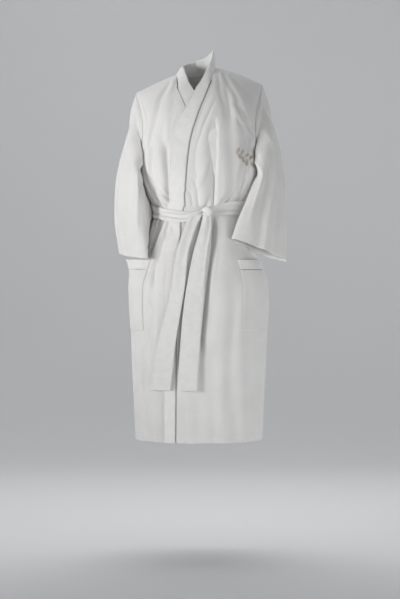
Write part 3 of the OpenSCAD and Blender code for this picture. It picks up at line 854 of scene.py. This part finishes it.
def make_bands(cotton, thread, piping):
    for side, name, necks, seam_rows, edge_rows, lift, creases in (
        (-1, "left", (LEFT_NECK_SEAM, LEFT_NECK_EDGE), LEFT_SEAM, LEFT_EDGE, OVER + BAND, ()),
        (1, "right", (RIGHT_NECK_SEAM, RIGHT_NECK_EDGE), RIGHT_SEAM, RIGHT_EDGE, BAND, COLLAR_CREASES),
    ):
        seam = band_side(necks[0], seam_rows, lift, side * SEAM_GAP, 0)
        edge = band_side(necks[1], edge_rows, lift, 0, 1)
        if side < 0:
            down = -edge[:, 2]
            edge[:, 1] -= 7 * between(down, 150, 455, 140, 30)
            edge[:, 1] -= 3 * between(down, 520, ROBE_LENGTH + 60, 150, 200)
        normal = unit(np.cross(np.gradient(seam, axis=0), edge - seam)) * side
        grid = band_grid(seam, edge, normal, creases)
        add_sheet(name + "_band", grid, BAND, name + "_front_band", "band", cotton, flip=side < 0)
        rows = [(mix(seam, edge, s) + normal * BAND_PUFF, normal) for s in (0.06, 0.93)]
        topstitch(name + "_band_stitching", rows, thread)
        drops = np.arange(BAND_STARTS - 14, ROBE_LENGTH - 1, 6.0)
        x = curve(seam_rows, drops)
        over = (left_lift(x, drops) if side < 0 else 0) + CLOTH + 0.5
        # the piping cord; its grey is partly painted shade of the seam it lies along
        cord = tube_object(name + "_piping", drape.at_x(x, drops, over), PIPING)
        dress(cord, name + "_band_piping", piping)


# ---- sleeves

LEFT_TOP = [
    (205, 0, -41), (223, 0, -112), (241, -3, -190), (263, -8, -275),
    (277, -18, -365), (283, -31, -480), (283, -45, -622),
]
LEFT_UNDER = [
    (201, 0, -295), (203, -42, -312), (193, -84, -350), (172, -106, -396),
    (148, -118, -444), (124, -130, -492), (104, -143, -549),
]
LEFT_HALF = [60, 46, 31, 27, 26, 25, 24]
RIGHT_TOP = [
    (-205, 0, -68), (-216, 0, -142), (-230, -2, -215), (-252, -5, -292),
    (-266, -8, -385), (-268, -12, -482), (-252, -20, -596),
]
RIGHT_UNDER = [
    (-201, 0, -295), (-202, -38, -310), (-196, -78, -354), (-188, -96, -416),
    (-184, -104, -480), (-179, -110, -545), (-176, -108, -612),
]
RIGHT_HALF = [60, 46, 36, 34, 34, 34, 28]
SLEEVE_ROWS, SLEEVE_ROUND = 110, 96  # points down a sleeve and round it
OFF_BODY = 7.0  # least gap between a sleeve and the plain body
CUFF_ROW = -6  # row of the cuff's stitching
# Folds down a sleeve: degrees round it, lean, half width, height, and where along it they start and end
LEFT_FOLDS = [
    (52, 26, 9, 5.0, 0.12, 1.2), (78, 20, 9, -5.5, 0.2, 1.2), (112, -24, 10, 4.5, 0.3, 1.2),
    (140, -30, 8, -4.5, 0.1, 0.9), (24, 12, 8, -3.5, 0.15, 0.8), (232, 18, 11, 5.5, 0.1, 1.2),
    (268, -14, 10, -6.0, 0.2, 1.2), (306, 16, 11, 5.0, 0.1, 1.2),
]
RIGHT_FOLDS = [
    (40, 30, 10, 4.5, 0.1, 1.1), (76, 14, 9, -4.5, 0.15, 1.0), (110, -10, 11, 4.0, 0.25, 1.1),
    (146, -30, 9, -5.0, 0.08, 0.85), (222, 14, 12, 5.0, 0.1, 1.1), (258, -20, 10, -5.0, 0.15, 1.1),
    (320, 22, 10, 4.0, 0.1, 1.1),
]
# Waves over a sleeve: height, turns round it, degrees along it, and a slower wave's rate and start
LEFT_WAVES, RIGHT_WAVES = (1.6, 3, 300, 7, 1), (1.8, 2, 420, 9, 2)


def armhole_ring(turn, side):
    """The edge of an armhole; turn 0 is the shoulder tip, 90 its front, 180 the armpit."""
    drop = ARMHOLE_DROP * (1 - np.cos(np.radians(turn))) / 2
    reach = armhole(drop)
    angle = np.where(turn <= 180, side * reach, side * (180 - reach))
    return drape.at(angle, drop, CLOTH) + np.array([side * 0.8, 0, 0])


def clear_of_body(points, side):
    """Moves a sleeve's points out sideways until they are clear of the plain body."""
    x, y, z = points[..., 0], points[..., 1], points[..., 2]
    drop = np.clip(-z, 1, ROBE_LENGTH)
    top = 1 - np.clip(drop / SHOULDER_ROUND, 0, 1)
    deep = curve(HALF_DEPTH, drop) * (1 - top * top) ** 0.75 + OFF_BODY
    share = np.clip(np.abs(y) / deep, 0, 1)
    least = curve(HALF_WIDTH, drop) * (1 - share**ROUNDNESS) ** (1 / ROUNDNESS) + OFF_BODY
    moved = points.copy()
    moved[..., 0] = side * np.maximum(side * x, np.where(share >= 1, 0, least))
    return moved


def sleeve_height(turn, t, folds, waves):
    """How far the folds and waves stand out at each turn round a sleeve and share t of its length."""
    high, round_it, along_it, rate, start = waves
    height = 0
    for at, lean, half, depth, first, last in folds:
        away = (turn - at - lean * (t - 0.5) + 180) % 360 - 180
        height = height + depth * np.exp(-((away / half) ** 2)) * between(t, first, last, 0.12, 0.12)
    return height + high * np.sin(np.radians(turn * round_it + along_it * t)) * np.sin(rate * t + start)


def armpit(turn, t):
    """Where the front of a sleeve folds over its own armhole, just below the armpit."""
    last = 172 + 30 * smooth((t - 0.1) / 0.08)
    return between(turn, 90, last, 30, 22) * between(t, 0.02, 0.42, 0.16, 0.2)


def left_shifts(turn, t):
    """The back of the left sleeve hangs a little lower than its front at the cuff."""
    low = between(turn, 190, 350, 60, 60) * smooth((t - 0.55) / 0.45)
    return (low, (2.0, 8.0, -6.0)), (armpit(turn, t), (-10.0, -5.0, 0.0))


def right_shifts(turn, t):
    """The wide underside of the right sleeve is pushed back and hangs behind the waist."""
    wide = between(turn, 186, 330, 26, 60) * between(t, 0.12, 0.97, 0.38, 0.3)
    front = between(turn, 95, 190, 45, 10) * smooth((t - 0.22) / 0.15)
    return (wide, (36.0, 96.0, 0.0)), (armpit(turn, t), (7.0, -5.0, 0.0)), (front, (12.0, -10.0, 0.0))


def sleeve_grid(top, under, half, side, folds, waves, shifts):
    turn = np.linspace(0, 360, SLEEVE_ROUND, endpoint=False)[:, None]
    t = np.linspace(0, 1, SLEEVE_ROWS)
    a, b = through(top, t), through(under, t)
    front = unit(np.cross(a - b, np.gradient(a + b, axis=0))) * -side
    width = through(half, t)
    c, s = (f(np.radians(turn))[..., None] for f in (np.cos, np.sin))
    squarer = np.sign(s) * np.abs(s) ** 0.8
    oval = (a + b) / 2 + (a - b) / 2 * c + front * width[:, None] * squarer
    points = mix(armhole_ring(turn, side), oval, smooth(t * 4.5)[:, None])
    for share, shift in shifts(turn, t):
        points = points + share[..., None] * np.array(shift)
    points = mix(points, clear_of_body(points, side), smooth((t - 0.02) / 0.05)[:, None])
    height = sleeve_height(turn, t, folds, waves) * smooth(t * 6)
    return points + surface_normals(points, 0) * side * height[..., None]


def make_sleeves(cotton, thread):
    for side, name, top, under, half, folds, waves, shifts in (
        (1, "left", LEFT_TOP, LEFT_UNDER, LEFT_HALF, LEFT_FOLDS, LEFT_WAVES, left_shifts),
        (-1, "right", RIGHT_TOP, RIGHT_UNDER, RIGHT_HALF, RIGHT_FOLDS, RIGHT_WAVES, right_shifts),
    ):
        node = name + "_sleeve"
        grid = sleeve_grid(top, under, half, side, folds, waves, shifts)
        piece = add_sheet(
            name + "_arm_sleeve", grid, CLOTH, node, "cloth", cotton, None, closed=True, flip=side > 0
        )
        cuff = [
            np.concatenate([field[:, CUFF_ROW], field[:1, CUFF_ROW]])
            for field in (grid, surface_normals(grid, 0) * side)
        ]
        stitches = topstitch(name + "_cuff_stitching", [cuff], thread, None)
        apply_modifiers(piece)
        for cloth in (piece, stitches):
            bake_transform(cloth)


# ---- pockets

POCKET_DROP, POCKET_HEIGHT, POCKET_BAND = 617, 228, 32
LEFT_POCKET = dict(side=1, span=(37, 82), gape=12, skew=1, fall=2)
RIGHT_POCKET = dict(side=-1, span=(50, 88), gape=46, skew=2, fall=5)


def pocket_grid(pocket, first, last, rows, columns=40):
    side, span = pocket["side"], pocket["span"]
    u = np.linspace(0, 1, columns)[::side, None]
    v = np.linspace(first, last, rows)
    angle = side * mix(span[0], span[1], u)
    drop = POCKET_DROP + POCKET_HEIGHT * v
    open_by = pocket["gape"] * (1 - v) ** pocket["fall"] * np.sin(math.pi * u ** pocket["skew"])
    lift = left_lift(base_point(angle, drop)[..., 0], drop) if side > 0 else 0.0
    points = drape.at(angle, drop, lift + 2 * CLOTH + 0.6)
    flat = drape.read(drape.plain_normals, angle, drop) * np.array([1, 1, 0])
    return points + unit(flat) * open_by[..., None]


def make_pockets(cotton, band_cotton_painted_brighter, thread):
    share = POCKET_BAND / POCKET_HEIGHT
    for name, pocket in (("left", LEFT_POCKET), ("right", RIGHT_POCKET)):
        grid = pocket_grid(pocket, share, 1, 40)
        add_sheet(name + "_pocket_patch", grid, CLOTH, name + "_pocket", "cloth", cotton)
        grid = pocket_grid(pocket, 0, share - 0.004, 12)
        facing = add_sheet(
            name + "_pocket_facing", grid, CLOTH * 2, name + "_pocket_band", "band", band_cotton_painted_brighter
        )
        for vertex in facing.data.vertices:
            vertex.co += vertex.normal * 0.9 * MM
        whole = pocket_grid(pocket, 0, 1, 60, 60)
        out = sheet_normals(whole)
        sides = [(whole[k, 9:], out[k, 9:]) for k in (2, -3)]
        ends = [(whole[2:-2, k] + out[2:-2, k] * rise, out[2:-2, k]) for k, rise in ((-3, 0.0), (7, 1.0))]
        topstitch(name + "_pocket_stitching", sides + ends, thread)


# ---- belt

BELT_WIDTH, BELT_THICK, BELT_LIFT = 58, 3.4, 8
BELT_HEIGHT = [
    (-180, -452), (-90, -455), (-62, -461), (-38, -473), (-16, -480), (-2, -474), (12, -461), (40, -449),
    (90, -450), (180, -452),
]
BELT_SHARE = [
    (-180, 0.86), (-80, 0.84), (-40, 0.74), (-18, 0.66), (0, 0.46), (14, 0.46), (34, 0.8), (50, 0.92),
    (70, 0.88), (180, 0.86),
]
# Creases along the belt: side and place across it, how much they wander, height and half width
BELT_CREASES = [(-6, -1, 2.6, 3.2), (4, -0.6, -2.2, 2.6), (13, 0.5, 2.2, 3.4)]


def belt_grid():
    angle = np.linspace(-180, 180, 240, endpoint=False)
    middle = curve(BELT_HEIGHT, angle)
    half = BELT_WIDTH / 2 * curve(BELT_SHARE, angle)
    lift = BELT_LIFT + OVER * smooth((75 - np.abs(angle)) / 25)
    wander = 3.0 * np.sin(np.radians(angle * 2 + 40)) + 1.5 * np.sin(np.radians(angle * 5))
    shallow = mix(0.45, 1.0, smooth((95 - np.abs(angle)) / 60))
    rows = []
    for s in np.linspace(1, -1, 25):
        crease = sum(
            depth * np.exp(-(((s * half + at + wander * part) / width) ** 2))
            for at, part, depth, width in BELT_CREASES
        ) * shallow
        roll = -2.5 * abs(s) ** 6
        rows.append(drape.off_plain(angle, -middle - s * half, lift + crease + roll))
    return np.stack(rows, 1)


TAIL_TOP, TAIL_LENGTH, TAIL_WIDTH, TAIL_LIFT = -474, 562, 62, 12.0
LEFT_TAIL = [(0, 24), (40, 21), (120, 4), (240, -12), (400, -26), (TAIL_LENGTH, -37)]
RIGHT_TAIL = [(0, -12), (40, -26), (120, -50), (240, -66), (400, -98), (TAIL_LENGTH, -119)]
LEFT_TAIL_WIDTH = [(0, 24), (60, 36), (180, 50), (300, 60), (TAIL_LENGTH, TAIL_WIDTH)]
RIGHT_TAIL_WIDTH = [(0, 40), (60, 36), (200, 40), (320, 48), (420, 58), (TAIL_LENGTH, TAIL_WIDTH)]


def tail_grid(rows, widths, phase):
    d = np.linspace(0, TAIL_LENGTH, 120)
    drop = d - TAIL_TOP
    gathered = 1 - smooth((d - 20) / 260)
    columns = []
    for s in np.linspace(-1, 1, 15):
        angle = angle_at(curve(rows, d) + s * curve(widths, d) / 2, drop)
        pleat = 1.8 * gathered * np.cos(math.pi * 1.3 * s + phase)
        wave = 2.2 * np.sin(d / 74 + phase) * s + 1.6 * np.sin(d / 43 + 2 * phase)
        lift = TAIL_LIFT + OVER + 3.0 * smooth(d / 60) + pleat + wave
        columns.append(drape.off_plain(angle, drop, lift))
    return np.stack(columns)


def make_belt(cotton, thread):
    add_sheet("belt_band", belt_grid(), BELT_THICK, "belt_waist", "belt", cotton, closed=True)
    for name, rows, widths, phase in (
        ("left", LEFT_TAIL, LEFT_TAIL_WIDTH, 0.4), ("right", RIGHT_TAIL, RIGHT_TAIL_WIDTH, 2.1)
    ):
        grid, body = tail_grid(rows, widths, phase), "belt_" + name + "_tail"
        add_sheet(name + "_tail_cloth", grid, BELT_THICK, body, "belt", cotton, body)
        out = sheet_normals(grid)
        lines = [(grid[k, 4:-4], out[k, 4:-4]) for k in (1, -2)]
        lines += [(grid[1:-1, k], out[1:-1, k]) for k in (-3, -9)]
        topstitch(name + "_tail_stitching", lines, thread, body)
    make_knot(cotton)


KNOT_AT, KNOT_SIZE, KNOT_GRAIN = (29.0, -139.5, -458.0), (0.70, 0.54, 0.64), 1.1
# Each pass of the belt through the knot: its path, its widths along it and its thickness
KNOT_PASSES = [
    ([(-15, 0, 13), (-9, -9, 8), (1, -13, 0), (10, -10, -9), (15, -1, -15)], [19, 25, 27, 25, 19], 10),
    ([(-24, 5, -4), (-16, -2, 2), (-5, -5, 6), (7, -3, 9), (16, 4, 11)], [23, 22, 20, 18, 15], 9),
    ([(24, 6, 9), (15, -3, 6), (6, -7, -1), (-4, -5, -9), (-10, 3, -18)], [19, 20, 18, 18, 20], 9),
    ([(-2, -4, -4), (-8, -6, -12), (-14, -5, -20), (-19, -2, -27)], [15, 18, 20, 21], 8),
    ([(5, -4, -6), (4, -7, -14), (2, -6, -21), (0, -3, -28)], [15, 20, 23, 25], 8),
]


def knot_pass(path, widths, thickness):
    """One pass of the belt through the knot: a folded strip of oval section along a path."""
    t = np.linspace(0, 1, 40)
    path, width = through(path, t), through(widths, t)
    along = unit(np.gradient(path, axis=0))
    side = unit(np.cross(along, np.array([0.0, -1.0, 0.0])))
    face = np.cross(side, along)
    ring = []
    for a in 2 * math.pi * np.arange(20) / 20:
        pleat = 1 + 0.05 * math.cos(5 * a)
        wide = side * (width / 2 * math.cos(a) * pleat)[:, None]
        ring.append(path + wide + face * (thickness / 2 * math.sin(a) * pleat))
    return grid_object("knot_pass", np.stack(ring), closed=True)


def make_knot(cotton):
    """A flat overhand knot: one pass goes over the middle and the ends come out under it."""
    mesh = bmesh.new()
    for path, widths, thickness in KNOT_PASSES:
        part = knot_pass(path, widths, thickness)
        mesh.from_mesh(part.data)
        bpy.data.objects.remove(part)
    bmesh.ops.holes_fill(mesh, edges=[e for e in mesh.edges if e.is_boundary], sides=0)
    bmesh.ops.recalc_face_normals(mesh, faces=mesh.faces)
    data = bpy.data.meshes.new("knot")
    mesh.to_mesh(data)
    mesh.free()
    knot = add_object("knot", data)
    data.transform(Matrix.Diagonal((*KNOT_SIZE, 1.0)))
    data.transform(Matrix.Translation([c * MM for c in KNOT_AT]))
    join = knot.modifiers.new("join", "REMESH")
    join.mode = "VOXEL"
    join.voxel_size = KNOT_GRAIN * MM
    join.use_smooth_shade = True
    knot.modifiers.new("soften", "SMOOTH").iterations = 3
    apply_modifiers(knot)
    dress(knot, "belt_knot", cotton)


# ---- small pieces


STRIP, LABEL = 1.4, 0.6  # thickness of the sewn strips and of the label
STRIP_COLUMNS = np.linspace(-1, 1, 7)


def make_belt_loops(cotton):
    """A narrow strip sewn at both ends to the side seam, with the belt passing under it."""
    for side, name in ((1, "left"), (-1, "right")):
        low, high = (np.array(c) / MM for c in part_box(name + "_belt_loop"))
        inner, outer = (low[0], high[0])[::side]
        t = np.linspace(-1, 1, 60)
        out = inner + (outer - inner) * (1 - np.abs(t) ** 8) - side * 0.5
        path = np.stack([out, 0 * t, (high[2] + low[2]) / 2 + t * ((high[2] - low[2]) / 2 - 1)], 1)
        across = [path + np.array([side * 0.3 * (1 - s * s), s * 4.6, 0]) for s in STRIP_COLUMNS]
        grid, node = np.stack(across), name + "_belt_loop"
        add_sheet(name + "_loop_strip", grid, STRIP, node, "band", cotton, flip=side > 0)


def make_hanger_loop(cotton):
    """A narrow sewn strip that hangs as a U inside the back of the neck."""
    low, high = (np.array(c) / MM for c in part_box("hanger_loop"))
    half, drop, corner = (high[0] - low[0]) / 2 - 3.5, high[2] - low[2] - 7.5, 10.0
    path = [(-half, 0)]
    path += [(-half, -s) for s in np.linspace(4, drop - corner, 8)]
    turns = np.radians(np.arange(9) * 90 / 8)
    bend = [(corner * (1 - math.cos(a)), corner * (1 - math.sin(a))) for a in turns]
    path += [(x - half, z - drop) for x, z in bend[1:]]
    path += [(x, -drop) for x in np.linspace(-half + corner + 4, half - corner - 4, 12)]
    path += [(half - z, x - drop) for x, z in bend]
    path += [(half, -s) for s in np.linspace(drop - corner - 3, 0, 8)]
    x, y = (low[:2] + high[:2]) / 2
    path = np.array([(x + u, y, high[2] - 1 + v) for u, v in path])
    side = unit(np.cross(unit(np.gradient(path, axis=0)), np.array([0.0, -1.0, 0.0])))
    rows = [path + side * s * 3.2 + np.array([0, -0.5 * (1 - s * s), 0]) for s in STRIP_COLUMNS]
    add_sheet("neck_loop", np.stack(rows), STRIP, "hanger_loop", "band", cotton, "hanger_loop")


def make_label(satin):
    """A blank woven label, sewn along its upper edge inside the back."""
    low, high = (np.array(c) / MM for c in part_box("care_label"))
    u, v = np.meshgrid(np.linspace(0, 1, 24), np.linspace(0, 1, 16), indexing="ij")
    y = (low[1] + high[1]) / 2 - 2.0 * v**2 * np.sin(math.pi * u * 0.8 + 0.4)
    grid = np.stack([mix(low[0], high[0], u), y, mix(high[2], low[2], v)], -1)
    add_sheet("blank_label", grid, LABEL, "care_label", "label", satin, flip=True)


# A leaf starts at (x, drop) and points this many degrees above the wearer's left
LEAVES = [
    (118, 276, 68), (122, 274, -62), (130, 280, 62), (136, 284, -74), (144, 284, 34),
    (150, 292, -86), (160, 294, 54), (166, 300, -64), (174, 300, 12),
]
STEM = [(112, 270), (126, 278), (142, 287), (160, 296), (178, 303)]
LEAF_LENGTH, LEAF_WIDTH, LEAF_THREADS, THREAD_RADIUS = 22, 9.0, 22, 0.6


def on_cloth(points):
    """Points of the left front's outer face, from x and drop."""
    x, drop = np.asarray(points, float)[..., 0], np.asarray(points, float)[..., 1]
    return drape.at_x(x, drop, left_lift(x, drop) + CLOTH + 0.7)


def add_thread(verts, faces, a, b, out):
    """A six-sided bar from a to b, thinner at its ends."""
    side = unit(np.cross(b - a, out)) * THREAD_RADIUS
    ring = [side * math.cos(t) + out * THREAD_RADIUS * math.sin(t) for t in 2 * math.pi * np.arange(6) / 6]
    ends = ((a, 0.5), (mix(a, b, 0.5), 1.0), (b, 0.5))
    add_bar(verts, faces, [[end + point * shrink for point in ring] for end, shrink in ends])


def make_embroidery(thread):
    """A sprig of leaves in satin stitch: slanting threads side by side, fanned from a leaf's vein."""
    verts, faces = [], []
    for x, drop, turn in LEAVES:
        start = np.array([x, drop], float)
        out = unit(drape.read(drape.normals, angle_at(start[0], start[1]), start[1]))
        along = np.array([math.cos(math.radians(turn)), -math.sin(math.radians(turn))])
        across = np.array([-along[1], along[0]])
        for k in range(LEAF_THREADS):
            s = (k + 0.5) / LEAF_THREADS
            half = LEAF_WIDTH / 2 * math.sin(math.pi * s) ** 0.8
            vein = start + along * LEAF_LENGTH * s
            for side in (-1, 1):
                tip = vein + along * half * 0.55 + across * side * half
                add_thread(verts, faces, on_cloth(vein) + out * 0.3, on_cloth(tip), out)
        leaf_tip = on_cloth(start + along * LEAF_LENGTH * 0.9) + out * 0.4
        add_thread(verts, faces, on_cloth(start - along * 3), leaf_tip, out)
    stem = on_cloth(through(STEM, np.linspace(0, 1, 24)))
    for a, b in zip(stem[:-1], stem[1:]):
        add_thread(verts, faces, a, b, unit(np.cross(b - a, np.array([1.0, 0, 0.6]))))
    piece = mesh_object("embroidered_sprig", (np.array(verts) * MM).tolist(), faces)
    dress(piece, "chest_embroidery", thread)


# ---- everything

make_camera()
make_lights()
make_floor()

drape = Drape()

cloths = [cloth_material(name, colour, **other) for name, (colour, other) in CLOTHS.items()]
cotton, band_cotton_painted_brighter, belt_cotton_painted_brighter, satin = cloths
white_thread, cord_grey_with_seam_shade, beige_thread = [thread_material(name, colour) for name, colour in THREADS.items()]

make_panels(cotton, white_thread)
make_bands(band_cotton_painted_brighter, white_thread, cord_grey_with_seam_shade)
make_sleeves(cotton, white_thread)
make_pockets(cotton, band_cotton_painted_brighter, white_thread)
make_belt(belt_cotton_painted_brighter, white_thread)
make_belt_loops(band_cotton_painted_brighter)
make_hanger_loop(band_cotton_painted_brighter)
make_label(satin)
make_embroidery(beige_thread)
